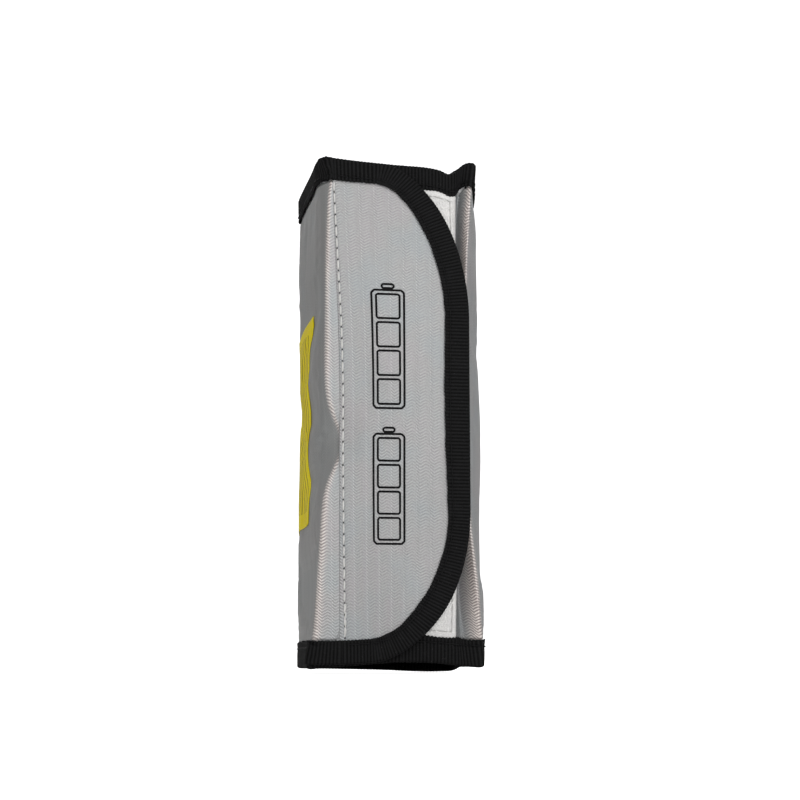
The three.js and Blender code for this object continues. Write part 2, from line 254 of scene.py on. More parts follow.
def fold_radius(u):
    """How far each fold is rounded off: most at the back."""
    back = hump(AT_BACK_RIGHT, 9, u) + hump(AT_BACK_LEFT, 9, u)
    return 0.5 + 1.4 * back + 0.35 * hump(AT_RIDGE, 4, u)


def body_surface(u, z):
    """The body's middle surface. u is the place along the cloth."""
    shape = u.shape
    u, z = u.ravel(), z.ravel()
    xy = np.zeros((len(u), 2))
    for step, weight in ((-2, 0.1), (-1, 0.22), (0, 0.36), (1, 0.22), (2, 0.1)):
        xy += weight * body_plan(np.clip(u + step * fold_radius(u), 0, AT_END), z)
    height = z + curve(TOP_LIFT, u) * ease(150, HEIGHT, z) + curve(BOTTOM_LIFT, u) * ease(40, 0, z)
    beads = hump(AT_RIDGE, 0.9, u) + hump(AT_FOLD, 0.8, u)
    ripple = 0.1 * beads * np.sin(math.tau * z / BEAD_PITCH)
    return np.column_stack([xy[:, 0], xy[:, 1] - ripple, height]).reshape(shape + (3,))


class Sheet:
    """A cloth surface that other pieces lie on. `move` is what the simulation added, on a coarse grid."""

    def __init__(self, surface):
        self.surface = surface
        self.move = None

    def at(self, a, b, out=0.0):
        """Points at the places a, b, raised by out from the sheet's middle."""
        a, b = np.broadcast_arrays(np.asarray(a, float), np.asarray(b, float))
        point = self.raw(a, b)
        if np.any(out):
            near = 0.25
            across = self.raw(a + near, b) - self.raw(a - near, b)
            up = self.raw(a, b + near) - self.raw(a, b - near)
            point = point + unit(np.cross(across, up)) * np.asarray(out, float)[..., None]
        return point

    def raw(self, a, b):
        point = self.surface(a, b)
        if self.move is None:
            return point
        first, step, values = self.move
        i = np.clip((a - first[0]) / step[0], 0, values.shape[0] - 1.001)
        j = np.clip((b - first[1]) / step[1], 0, values.shape[1] - 1.001)
        i0, j0 = i.astype(int), j.astype(int)
        s, t = ease(0, 1, i - i0)[..., None], ease(0, 1, j - j0)[..., None]
        low = values[i0, j0] * (1 - s) + values[i0 + 1, j0] * s
        high = values[i0, j0 + 1] * (1 - s) + values[i0 + 1, j0 + 1] * s
        return point + low * (1 - t) + high * t


# ---- Cloth simulation
def drape(sheet, a, b, pinned, slack, limit):
    """Lets the sheet's cloth settle. `pinned` gives how firmly each point is held, `slack` how much longer
    the cloth is than its shape, and `limit` how far it may move."""
    scale = 10 * MM  # the solver behaves best on metre-sized cloth
    frames = 22
    grid_a, grid_b = grid(a, b)
    start = sheet.at(grid_a, grid_b)
    cloth = grid_object("drape", start * scale / MM)
    hold = cloth.vertex_groups.new(name="hold")
    for index, weight in enumerate(pinned(grid_a, grid_b).ravel()):
        hold.add([index], float(weight), "REPLACE")
    modifier = cloth.modifiers.new("cloth", "CLOTH")
    settings = modifier.settings
    settings.quality = 8
    settings.mass = 0.3
    settings.tension_stiffness = settings.compression_stiffness = 25
    settings.shear_stiffness = 12
    settings.bending_stiffness = 1.6
    settings.vertex_group_mass = "hold"
    settings.shrink_min = -slack
    settings.effector_weights.gravity = 0.25
    modifier.collision_settings.use_collision = False
    for number in range(1, frames + 1):
        scene.frame_set(number)
    result = cloth.evaluated_get(bpy.context.evaluated_depsgraph_get()).to_mesh()
    points = np.zeros(len(result.vertices) * 3)
    result.vertices.foreach_get("co", points)
    scene.frame_set(1)
    bpy.data.objects.remove(cloth)
    moved = points.reshape(start.shape) / scale - start
    length = np.linalg.norm(moved, axis=-1, keepdims=True)
    moved *= np.minimum(1, limit / np.maximum(length, 1e-6))
    sheet.move = ((a[0], b[0]), (a[1] - a[0], b[1] - b[0]), moved)


# ---- Meshes
def add_object(name, data):
    ob = bpy.data.objects.new(name, data)
    scene.collection.objects.link(ob)
    return ob


def new_object(name, points, faces):
    """A smooth-shaded mesh; its points are given in millimetres."""
    mesh = bpy.data.meshes.new(name)
    mesh.from_pydata(np.asarray(points, float).reshape(-1, 3) * MM, [], faces)
    mesh.update()
    mesh.shade_smooth()
    return add_object(name, mesh)


def grid(a, b):
    return np.meshgrid(a, b, indexing="ij")


def grid_faces(nu, nv, wrap_u=False, wrap_v=False):
    """Four-sided faces over a grid of nu by nv points."""
    across, up = np.arange(nu if wrap_u else nu - 1), np.arange(nv if wrap_v else nv - 1)
    i, j = (places.ravel() for places in grid(across, up))
    ni, nj = (i + 1) % nu, (j + 1) % nv
    return np.column_stack([i * nv + j, ni * nv + j, ni * nv + nj, i * nv + nj])


def lay_cloth(ob, uv):
    """Stores each vertex's place on its cloth, in millimetres, for the materials."""
    corner = np.zeros(len(ob.data.loops), np.int32)
    ob.data.loops.foreach_get("vertex_index", corner)
    layer = ob.data.uv_layers.new(name="cloth")
    layer.data.foreach_set("uv", np.asarray(uv, np.float32).reshape(-1, 2)[corner].ravel())


def grid_object(name, points, uv=None, wrap_u=False, wrap_v=False, cap=False, **marks):
    """A surface over a grid of points. `cap` fills in its last row, and a mark is a value per point."""
    nu, nv = points.shape[:2]
    faces = grid_faces(nu, nv, wrap_u, wrap_v).tolist()
    if cap:
        faces.append([nu * nv - 1 - j for j in range(nv)])
    ob = new_object(name, points, faces)
    if uv is not None:
        lay_cloth(ob, uv)
    for mark, values in marks.items():
        attribute = ob.data.attributes.new(mark, "FLOAT", "POINT")
        attribute.data.foreach_set("value", np.broadcast_to(values, (nu, nv)).astype(np.float32).ravel())
    return ob


def across(joint, start, end):
    """Where a piece starts and stops bending, as x and y from a joint's axis."""
    return [((joint[0] + x) * MM, (joint[1] + y) * MM, 0) for x, y in (start, end)]


def complete(ob, look, where, *stands_for, thickness=0):
    """Gives a mesh its thickness and look, and hides the CAD nodes it stands for. `where` is the body it
    moves with, or
    "fold" or "seam" for a piece whose place is only baked into its mesh."""
    if thickness:
        solid = ob.modifiers.new("thickness", "SOLIDIFY")
        solid.thickness = thickness * MM
        solid.offset = 0.0
    material, slot = look
    ob.data.materials.append(material)
    if stands_for:
        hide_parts(*stands_for)
    if where == "fold":
        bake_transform(ob)
    elif where == "seam":
        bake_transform(ob)
    else:
        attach(ob, where)


# ---- Node materials
def grey(value):
    return (value, value, value, 1)


class Nodes:
    """A node tree being built; each method adds a node and most return its output."""

    def __init__(self, owner):
        owner.use_nodes = True
        self.tree = owner.node_tree

    def put(self, socket, value):
        if isinstance(value, bpy.types.NodeSocket):
            self.tree.links.new(value, socket)
        else:
            socket.default_value = value

    def node(self, kind, values=None, **settings):
        node = self.tree.nodes.new("ShaderNode" + kind)
        for key, value in settings.items():
            setattr(node, key, value)
        for key, value in (values or {}).items():
            self.put(node.inputs[key], value)
        return node

    def math(self, operation, a, b=0.0):
        return self.node("Math", {0: a, 1: b}, operation=operation).outputs[0]

    def times(self, a, b):
        return self.math("MULTIPLY", a, b)

    def plus(self, a, b):
        return self.math("ADD", a, b)

    def wave(self, x, length=1.0):
        return self.math("SINE", self.times(x, math.tau / length))

    def line(self, x, slope, start):
        return self.node("Math", {0: x, 1: slope, 2: start}, operation="MULTIPLY_ADD").outputs[0]

    def mix(self, amount, a, b):
        node = self.node("Mix", data_type="RGBA")
        self.put(node.inputs["Factor"], amount)
        self.put(node.inputs["A"], a)
        self.put(node.inputs["B"], b)
        return next(o for o in node.outputs if o.type == "RGBA")

    def steps(self, value, low, high, to_low=0.0, to_high=1.0, kind="SMOOTHSTEP"):
        values = {"Value": value, "From Min": low, "From Max": high, "To Min": to_low, "To Max": to_high}
        return self.node("MapRange", values, interpolation_type=kind).outputs["Result"]

    def noise(self, where, scale, detail=2.0):
        values = {"Vector": where, "Scale": scale, "Detail": detail}
        return self.node("TexNoise", values).outputs["Fac"]


class Look(Nodes):
    """A material's nodes."""

    def __init__(self, name):
        self.material = bpy.data.materials.new(name)
        super().__init__(self.material)
        self.shader = self.tree.nodes["Principled BSDF"]

    def object_place(self):
        return self.node("TexCoord").outputs["Object"]

    def cloth_place(self):
        """The place on the cloth, in millimetres: together, across and up."""
        place = self.node("UVMap", uv_map="cloth").outputs["UV"]
        apart = self.node("SeparateXYZ", {"Vector": place})
        return place, apart.outputs["X"], apart.outputs["Y"]

    def mark(self, name):
        return self.node("Attribute", attribute_name=name).outputs["Fac"]

    def bump(self, height, distance):
        node = self.node("Bump", {"Height": height, "Distance": distance * MM})
        self.put(self.shader.inputs["Normal"], node.outputs["Normal"])

    def finish(self, colour, roughness, **others):
        for key, value in {"Base_Color": colour, "Roughness": roughness, **others}.items():
            self.put(self.shader.inputs[key.replace("_", " ")], value)
        return self.material


def silver_cloth(name, tone):
    """Coated glass cloth in a fine herringbone: smooth where the mark "weave" falls, with a painted highlight
    of shining yarns along the folds' ridges and painted shade darkening the valley beside the lip, each where
    its mark rises."""
    look = Look(name)
    place, across, up = look.cloth_place()
    weave, bead = look.mark("weave"), look.mark("bead")

    valley, peak, fall = 0.27, 0.67, 0.41  # where a rib turns across a column, and how fast it falls again
    column = look.math("FRACT", look.math("DIVIDE", across, COLUMN))
    down = look.line(column, -1 / valley, 0.0)
    rise = look.line(column, 1 / (peak - valley), -1 - valley / (peak - valley))
    second = look.line(column, -1 / fall, peak / fall)
    chevron = look.math("MINIMUM", look.math("MAXIMUM", down, rise), second)
    wobble = look.times(look.noise(place, 0.3), 0.6)
    phase = look.math("SUBTRACT", look.math("DIVIDE", up, BEAD_PITCH), chevron)
    wave = look.wave(look.plus(phase, wobble))
    rib = look.steps(wave, -1.0, 1.0)
    dots = look.times(look.steps(column, 0.12, 0.02), look.steps(rib, 0.3, 0.9))
    broad = look.noise(place, 0.05, 3.0)
    patches = look.noise(place, 0.16)
    fine = look.noise(place, 1.6)

    clear = look.steps(patches, 0.3, 0.7, 0.4, 1.0)
    strength = look.times(clear, look.steps(column, 0.6, 0.72, 0.5, 0.26))
    shade = look.times(look.math("SUBTRACT", rib, 0.5), strength)
    grain = look.times(look.math("SUBTRACT", fine, 0.5), 0.9)
    shade = look.plus(look.plus(shade, 0.5), grain)
    woven = look.mix(shade, grey(0.28 * tone), grey(0.60 * tone))
    woven = look.mix(look.times(dots, 0.5), woven, grey(0.85 * tone))
    blue, pink = (0.36 * tone, 0.44 * tone, 0.48 * tone, 1), (0.50 * tone, 0.42 * tone, 0.46 * tone, 1)
    woven = look.mix(look.steps(broad, 0.45, 0.66, 0, 0.22), woven, blue)
    woven = look.mix(look.steps(broad, 0.52, 0.34, 0, 0.16), woven, pink)

    flat = look.times(up, 0.06)
    stretched = look.node("CombineXYZ", {"X": across, "Y": flat}).outputs[0]
    streaks = look.steps(look.noise(stretched, 0.22), 0.3, 0.7)
    dark, light = (0.34 * tone, 0.34 * tone, 0.33 * tone, 1), (0.43 * tone, 0.43 * tone, 0.42 * tone, 1)
    base = look.mix(weave, look.mix(streaks, dark, light), woven)
    # Painted shade: the cloth's colour is darkened in the valley beside the lip where this mark rises.
    base = look.mix(look.mark("dull"), base, (0.075, 0.085, 0.09, 1))
    # Painted highlight: the yarns along the folds' ridges are lit in the colour itself.
    yarns = look.mix(look.steps(wave, -0.6, 0.5), (0.34, 0.28, 0.26, 1), (0.92, 0.83, 0.78, 1))
    base = look.mix(look.times(bead, 0.75), base, yarns)

    rough = look.steps(fine, 0.2, 0.8, 0.34, 0.54)
    height = look.times(look.plus(rib, look.times(dots, 0.5)), weave)
    look.bump(look.plus(height, look.times(fine, 0.25)), 0.07)
    return look.finish(base, rough, Metallic=0.35, Sheen_Weight=0.05)


def black_tape(name):
    """Ribbed binding tape: near black, with a dry sheen and painted specks of highlight on its yarns."""
    look = Look(name)
    place, along, across = look.cloth_place()
    yarn_pitch = 0.55
    yarn = look.wave(across, yarn_pitch)
    rib = look.wave(along, RIB_PITCH)
    fine = look.noise(place, 3.4, 3.0)
    broad = look.noise(place, 0.12)
    base = look.mix(look.steps(rib, -0.6, 1.0), grey(0.0015), (0.012, 0.012, 0.0125, 1))
    # Painted highlight: the specks of light on the yarns are painted into the colour.
    specks = look.times(look.steps(fine, 0.66, 0.76), look.steps(yarn, 0.1, 0.9))
    base = look.mix(specks, base, (0.17, 0.17, 0.175, 1))
    base = look.mix(look.steps(broad, 0.5, 0.8, 0.0, 0.2), base, (0.02, 0.02, 0.022, 1))
    rough = look.steps(fine, 0.3, 0.7, 0.62, 0.88)
    height = look.plus(look.times(yarn, 0.4), fine)
    look.bump(height, 0.09)
    return look.finish(base, rough, Sheen_Weight=0.01, Specular_IOR_Level=0.12)


def thread_look(name, colour, pale, sheen):
    """Twisted sewing thread."""
    look = Look(name)
    place, along, around = look.cloth_place()
    slant = look.plus(look.times(along, 9.0), look.times(around, 6.0))
    twist = look.math("SINE", slant)
    base = look.mix(look.steps(twist, -0.8, 0.8), colour + (1,), pale + (1,))
    look.bump(twist, 0.05)
    rough = look.steps(look.noise(place, 4.0), 0.3, 0.7, 0.45, 0.7)
    return look.finish(base, rough, Sheen_Weight=sheen, Specular_IOR_Level=0.2)


def napped(name, dark, light):
    """The ground of the hook-and-loop tapes: brushed yarn."""
    look = Look(name)
    place, _, _ = look.cloth_place()
    fine = look.noise(place, 1.6, 4.0)
    broad = look.noise(place, 0.1)
    base = look.mix(look.steps(fine, 0.3, 0.72), dark + (1,), light + (1,))
    base = look.mix(look.steps(broad, 0.4, 0.75, 0, 0.25), base, (0.55, 0.54, 0.58, 1))
    look.bump(fine, 0.12)
    return look.finish(base, look.steps(fine, 0.2, 0.8, 0.5, 0.8), Sheen_Weight=0.3)


def ink(name):
    """Screen-printed black."""
    look = Look(name)
    where = look.object_place()
    fine = look.noise(where, 900.0)
    base = look.mix(fine, grey(0.001), (0.008, 0.008, 0.009, 1))
    look.bump(fine, 0.03)
    rough = look.steps(fine, 0.3, 0.7, 0.5, 0.75)
    return look.finish(base, rough, Specular_IOR_Level=0.12)


def label_film(name):
    """Yellow film with plain dark rules inside a margin."""
    look = Look(name)
    place, across, up = look.cloth_place()
    fine = look.noise(place, 1.1, 3.0)
    broad = look.noise(place, 0.05)
    base = look.mix(look.steps(fine, 0.3, 0.7), (1.0, 0.77, 0.008, 1), (1.0, 0.88, 0.03, 1))
    base = look.mix(look.steps(broad, 0.4, 0.7, 0, 0.3), base, (0.86, 0.65, 0.008, 1))
    wave = look.math("PINGPONG", look.math("DIVIDE", across, 2.1), 1.0)
    rule = look.steps(wave, 0.72, 0.80)
    for x, end in ((up, 72.0), (across, 38.8)):
        inside = look.times(look.steps(x, 5.0, 5.2), look.steps(x, end - 0.2, end, 1.0, 0.0))
        rule = look.times(rule, inside)
    base = look.mix(look.times(rule, 0.8), base, (0.16, 0.11, 0.01, 1))
    look.bump(look.plus(fine, broad), 0.08)
    rough = look.steps(fine, 0.3, 0.7, 0.42, 0.58)
    return look.finish(base, rough, Specular_IOR_Level=0.1)


def pit_look(name):
    """The dark of a needle hole: painted shade inside the hole."""
    look = Look(name)
    where = look.object_place()
    base = look.mix(look.noise(where, 1500.0), grey(0.004), (0.03, 0.028, 0.026, 1))
    return look.finish(base, 0.9)


# ---- Cloth pieces
body = Sheet(body_surface)


def body_hold(u, z):
    """How firmly the body's cloth is held: by its end seams, by its folds and by the closure."""
    ends = ease(18, 9, z) + ease(HEIGHT - 18, HEIGHT - 9, z)
    folds = 0.85 * (hump(AT_BACK_RIGHT, 3, u) + hump(AT_BACK_LEFT, 3, u) + hump(AT_RIDGE, 3, u))
    front = ease(33, 27, u) + ease(222, 232, u)
    return np.clip(ends + folds + front, 0.02, 1)


def body_piece(name, u, anchor, cloth, where, node):
    """Part of the body's sheet. Its weave is measured from the column `anchor`."""
    from_end = 3 + 6.8 * ease(AT_END - 2.6, AT_END - 1.4, u)[:, None]
    z = from_end + (HEIGHT - 2 * from_end) * np.linspace(0, 1, 574)
    under_tape = -0.65 * (ease(10.9, 9.6, z) + ease(HEIGHT - 10.3, HEIGHT - 9.0, z))
    points = body.at(u[:, None], z, under_tape)
    along = distances(points[..., :2])
    uv = np.stack([along - along[anchor] + u[anchor], z], -1)
    # Painted highlight along the ridge and the front fold, stored as a mark.
    crest = np.abs(u[:, None] - AT_RIDGE + 0.5) / (1.1 + 0.9 * ease(60, 30, z))
    bead = 1.1 * np.exp(-(crest**2)) + 0.85 * hump(AT_FOLD + 0.5, 1.0, u)[:, None]
    smooth = ease(AT_BACK_LEFT - 5, AT_BACK_LEFT + 5, u) * ease(AT_FOLD - 0.3, AT_FOLD - 1.2, u)
    # Painted shade for the valley between the lip's strip and the ridge, stored as a mark.
    creased = ease(17.5, 18.6, u) * ease(26.5, 22.5, u)
    marks = {"bead": bead, "weave": 1 - 0.5 * smooth[:, None], "dull": 0.55 * creased[:, None]}
    complete(grid_object(name, points, uv, **marks), cloth, where, node, thickness=CLOTH)


def columns(*spans):
    """Places along the cloth: each span is (from, to, spacing)."""
    parts = [np.linspace(a, b, max(2, int(round((b - a) / step)) + 1))[:-1] for a, b, step in spans]
    return np.concatenate([*parts, [spans[-1][1]]])


def make_body_cloth(cloth):
    """The lip, right wall and back wall, which stay still."""
    u = columns((0, 19, 2.1), (19, AT_RIDGE - 2, 0.6), (AT_RIDGE - 2, AT_RIDGE + 2, 0.25),
                (AT_RIDGE + 2, 40, 1.6), (40, 95, 4.0), (95, 107, 1.0), (107, 155, 4.4),
                (155, AT_BACK_LEFT, 1.0))
    body_piece("body_cloth", u, 0, cloth, "bag", "body_wrap")


def make_fold_cloth(cloth):
    """The left wall and, round the front fold, the strip that the flap is sewn to."""
    u = columns((AT_BACK_LEFT, 167, 0.8), (167, 222, 1.8), (222, AT_FOLD - 2, 0.8),
                (AT_FOLD - 2, AT_FOLD + 2, 0.25), (AT_FOLD + 2, AT_END, 0.5))
    body_piece("fold_cloth", u, -1, cloth, "fold", "hinge_strip")


# ---- The flap
def flap_surface(x, z):
    """The flap's middle surface. x and z are places on the flat pattern."""
    fold_shift = curve(FOLD_LINE, z) - FOLD_X
    seam_shift = curve(SEAM_LINE, z) - SEAM_X
    near_seam = np.clip((x - FOLD_X) / (SEAM_X - FOLD_X), 0, 1)
    shift = (fold_shift * (1 - near_seam) + seam_shift * near_seam) * (1 - ease(SEAM_X, 4, x))
    droop = (0.75 - 1.9 * ease(FOLD_X, -4, x)) * ease(150, 184, z)
    rise = (1.6 + 0.9 * ease(FOLD_X, -6, x)) * ease(70, 2, z)
    spread = 1.1 * ease(2, 18, x)
    middle = hump(92, 70, z)
    crown = 0.8 * middle * hump(-4, 15, x) - 0.5 * hump(FLAP_HIGH[0], 8, x) * middle
    waves = 0.16 * np.sin(z / 13 + x / 9) * hump(0, 16, x) + 0.12 * np.sin(z / 7.5 - x / 6) * hump(8, 12, x)
    pull = 0.7 * hump(DENT_Z, DENT_WIDTH, z) * hump(SEAM_X, 5, x)
    return np.stack([x + shift + spread, FLAP_Y - crown - waves + pull, z + droop + rise], -1)


flap = Sheet(flap_surface)


def corner_curve(start, end, bend, fullness):
    """One rounded corner of the flap, as its pattern draws it."""
    t = np.linspace(0, 1, 40)[:, None]
    start, end, bend = (np.array(p, float) for p in (start, end, bend))
    a = start + (bend - start) * fullness
    b = end + (bend - end) * fullness
    return start * (1 - t) ** 3 + 3 * a * t * (1 - t) ** 2 + 3 * b * t * t * (1 - t) + end * t**3


def flap_edge(inset, left):
    """The flap's edge on its pattern, from the upper left round to the lower left."""
    right = FLAP_HIGH[0] - inset
    low, high = FLAP_LOW[2] + inset, FLAP_HIGH[2] - inset
    upper = (FLAP_HIGH[0] - TOP_CORNER[0], high), (right, FLAP_HIGH[2] - TOP_CORNER[1])
    lower = (right, FLAP_LOW[2] + BOTTOM_CORNER[1]), (FLAP_HIGH[0] - BOTTOM_CORNER[0], low)
    return np.concatenate([
        [(left, high)],
        corner_curve(*upper, (right, high), TOP_FULLNESS),
        corner_curve(*lower, (right, low), BOTTOM_FULLNESS),
        [(left, low)],
    ])


def make_flap_cloth(cloth):
    """The flap's cloth, from the turned edge that laps over the seam to inside the tape."""
    left, under_tape = SEAM_X - 1.15, 0.9
    turned = [(2.0, -0.25), (0.5, -0.25), (0.0, -0.24), (-0.25, -0.2), (-0.1, -0.1), (0.4, 0.03), (1.0, 0.09)]
    level = np.linspace(left + 1.5, FLAP_HIGH[0] - under_tape, 80)
    xs = np.concatenate([[left + x for x, _ in turned], level])
    outs = np.concatenate([[out for _, out in turned], 0.1 - 0.1 * ease(left + 1.5, left + 9, level)])
    edge = flap_edge(under_tape, left - 1)
    half = len(edge) // 2
    top, bottom = (np.interp(xs, *side.T)[:, None] for side in (edge[:half], edge[::-1][:half]))
    z = bottom + (top - bottom) * np.linspace(0, 1, 300)
    x = np.broadcast_to(xs[:, None], z.shape)
    groove = 0.12 * hump(SEAM_X, 0.45, x)
    points = flap.at(x, z, outs[:, None] - groove)
    ob = grid_object("flap_cloth", points, np.stack([x, z], -1), bead=0.0, weave=1.0, dull=0.0)
    complete(ob, cloth, "seam", "flap_panel", thickness=0.45)


# ---- Binding tape
def tape_section(inside, outside, width=TAPE_WIDTH):
    """The folded tape's section, as (distance in from the edge, how far out, the tape's outward turn)."""
    leg = [width, width - 0.6, CHANNEL + 0.3, CHANNEL, CHANNEL - 0.3, 5.0, 3.0, 1.2, 0.6]
    middle, reach = (outside + inside) / 2, (outside - inside) / 2
    points = [(depth, outside, 0, 1) for depth in leg]
    for a in np.radians(np.linspace(75, -75, 7)):
        forward, up = math.cos(a), math.sin(a)
        points.append((0.5 * (1 - forward) - 0.15, middle + reach * up, -forward, up))
    return np.array(points + [(depth, inside, 0, -1) for depth in reversed(leg)])


def bind(name, place, s, section, tape, where, node, closed=False, uneven=0.14):
    """Ribbed tape folded over an edge. place(depth, out) gives a point for each step along it, and the
    tape's woven edges wander by `uneven`."""
    rng = np.random.default_rng(11)
    rib = np.sin(math.tau * s / RIB_PITCH)[:, None]
    knots = np.arange(0, s[-1] + 8, 4)
    drift = np.interp(s, knots, rng.uniform(-uneven, uneven, len(knots)))[:, None]
    rise = 0.085 * rib - 0.2 * hump(CHANNEL, 0.5, section[:, 0])
    woven_edges = np.zeros(len(section))
    woven_edges[[0, -1]] = 1
    depth = section[:, 0] + section[:, 2] * rise + woven_edges * (0.16 * rib + drift)
    points = place(depth, section[:, 1] + section[:, 3] * rise)
    uv = np.stack(np.broadcast_arrays(s[:, None], distances(section[:, :2])), -1)
    last = -1 if closed else None
    ob = grid_object(name, points[:last], uv[:last], wrap_u=closed)
    complete(ob, tape, where, node, thickness=0.5)


def flap_tape():
    """The distance round the flap's edge, and a function from depth to places on its pattern."""
    edge, s = resample(flap_edge(0, SEAM_X - 2.2), RING_STEP)
    along = unit(np.gradient(edge, axis=0))
    kept = 1 - curve(TAPE_LOSS, s / s[-1]) / TAPE_WIDTH

    def inward(depth):
        depth = depth * kept[:, None]
        return edge[:, 0, None] + along[:, 1, None] * depth, edge[:, 1, None] - along[:, 0, None] * depth

    return s, inward


def make_flap_binding(tape):
    """The tape round the flap's three free sides."""
    s, inward = flap_tape()
    bind("flap_binding_tape", lambda depth, out: flap.at(*inward(depth), out), s,
         tape_section(-0.75, 0.85), tape, "seam", "flap_binding")


def make_hinge_bindings(tape):
    """The tape's two ends, which turn the bag's corner beside the hinge."""
    start, stop = FOLD_X - 5.0, SEAM_X - 0.6
    x = np.linspace(start, stop, int((stop - start) / RIB_PITCH * 7))
    reach = (x - FOLD_X) / (SEAM_X + SEAM_LAP - FOLD_X)
    u = AT_FOLD + reach * (AT_END - AT_FOLD)
    on_flap = ease(FOLD_X + 0.5, FOLD_X + 3.5, x)[:, None]
    on_wall = ease(FOLD_X - 0.5, FOLD_X - 3.5, x)[:, None]
    narrower = 1 - 0.8 / TAPE_WIDTH
    for end, edge, sign in (("top", FLAP_HIGH[2], -1), ("bottom", FLAP_LOW[2], 1)):

        def place(depth, out):
            z = edge + sign * (depth * narrower - 0.3 * on_wall)
            wall = body.at(u[:, None], z, out + 0.3 + 0.25 * on_wall * (out > 0))
            return wall * (1 - on_flap)[..., None] + flap.at(x[:, None], z, out) * on_flap[..., None]

        middle = place(4.0, 0.8)
        s = distances(middle[:, 0, :2])
        name, node = f"hinge_binding_tape_{end}", f"hinge_binding_{end}"
        bind(name, place, s, tape_section(-0.75, 0.82), tape, "fold", node)


def ring_line(z):
    """The bag's plan outline near one end, closed across the mouth."""
    u = np.concatenate([np.linspace(0, AT_FOLD - 6, 300), np.linspace(AT_FOLD - 5.5, AT_FOLD - 3.2, 4)])
    outline = body.at(u, z)
    lip, corner = outline[0], outline[-1]
    sill_y = LIP_Y - 0.1
    front = [(corner[0] + 1.2, sill_y - 0.1, corner[2]), (LIP_EDGE - 2, sill_y, lip[2])]
    return np.concatenate([outline, front, outline[:1]])


def ring_frame(z):
    """Evenly spaced points round one end, their outward directions and distances."""
    line, s = resample(ring_line(z), RING_STEP)
    ring = line[:-1]
    for _ in range(2):
        ring = sum(w / 16 * np.roll(ring, k - 3, axis=0) for k, w in enumerate((1, 2, 3, 4, 3, 2, 1)))
    outward = beside(ring[:, :2])
    return np.vstack([ring, ring[:1]]), np.vstack([outward, outward[:1]]), s


def ring_place(top):
    """A placing function for pieces that run round one end, with the ring it follows."""
    sign = -1 if top else 1
    edge = HEIGHT - 1 if top else 1
    ring, outward, s = ring_frame(edge)
    inner, _, _ = ring_frame(edge + sign * 8)
    inner = along_line(np.linspace(0, 1, len(ring)), np.linspace(0, 1, len(inner)), inner)

    def place(depth, out):
        t = np.clip(depth / 9, -0.2, 1.3)[..., None]
        base = ring[:, None, :] * (1 - t) + inner[:, None, :] * t
        xy = base[..., :2] + outward[:, None, :] * out[..., None]
        rim = ring[:, None, 2]
        lean = 0.5 * (base[..., 2] - rim - sign * 8 * t[..., 0])
        z = rim + sign * (depth - 0.45) + lean
        return np.concatenate([xy, z[..., None]], -1)

    return place, s, ring, outward


def make_end_bindings(tape, thread):
    """The tape round each end seam, with its stitches."""
    for end, wider in (("top", 0.0), ("bottom", 0.5)):
        place, s, _, _ = ring_place(end == "top")
        section = tape_section(-2.1, 0.75, TAPE_WIDTH + wider)
        bind(f"{end}_binding_tape", place, s, section, tape, "bag", f"{end}_end_binding", True, 0.35)
        low, high = (place(np.array([[CHANNEL]]), np.array([[out]]))[:, 0] for out in (1.05, 1.15))

        def row(t, raised):
            lift = unit(along_line(t, s, high - low))
            return along_line(t, s, low) + lift * raised[:, None]

        stitches(f"{end}_binding_stitches", row, s[-1], thread, "bag", f"{end}_binding_thread")


# ---- Threads
def spaced(length, pitch):
    """A whole number of stitches along a row, and the pitch that fits them."""
    count = int(round(length / pitch))
    return count, length / count


def circle(sides):
    return np.linspace(0, math.tau, sides + 1)[:-1]


def stitches(name, row, length, thread, where, *stands_for, radius=0.2, pitch=STITCH):
    """A row of separate stitches. row(t, out) gives points at distance t along the row, raised by out."""
    count, pitch = spaced(length, pitch)
    rings, sides = 9, 6
    turn = circle(sides)
    share = np.linspace(0, 1, rings)
    t = (np.arange(count)[:, None] + 0.05 + 0.9 * share) * pitch
    over = np.sin(math.pi * share)
    arch = np.broadcast_to(0.12 * over**0.6 - 0.12 * (1 - over**0.3), t.shape)
    centre = row(t.ravel(), arch.ravel()).reshape(count, rings, 3)
    up = unit(row(t.ravel(), arch.ravel() + 0.1).reshape(count, rings, 3) - centre)
    along = unit(np.gradient(centre, axis=1))
    side = unit(np.cross(along, up))
    size = radius * np.interp(share, (0, 0.1, 0.25, 0.75, 0.9, 1), (0.35, 0.75, 1, 1, 0.75, 0.35))
    centre = centre + side * (0.14 * (share - 0.5))[None, :, None]
    spoke = np.cos(turn)[:, None] * side[:, :, None] + np.sin(turn)[:, None] * up[:, :, None]
    verts = centre[:, :, None] + size[None, :, None, None] * spoke
    tube = grid_faces(rings, sides, wrap_v=True)[:, ::-1].tolist()
    tube += [list(range(sides)), [rings * sides - 1 - j for j in range(sides)]]
    faces = [[k * rings * sides + j for j in face] for k in range(count) for face in tube]
    ob = new_object(name, verts, faces)
    lay_cloth(ob, np.stack(np.broadcast_arrays(t[:, :, None], turn), -1))
    complete(ob, thread, where, *stands_for)


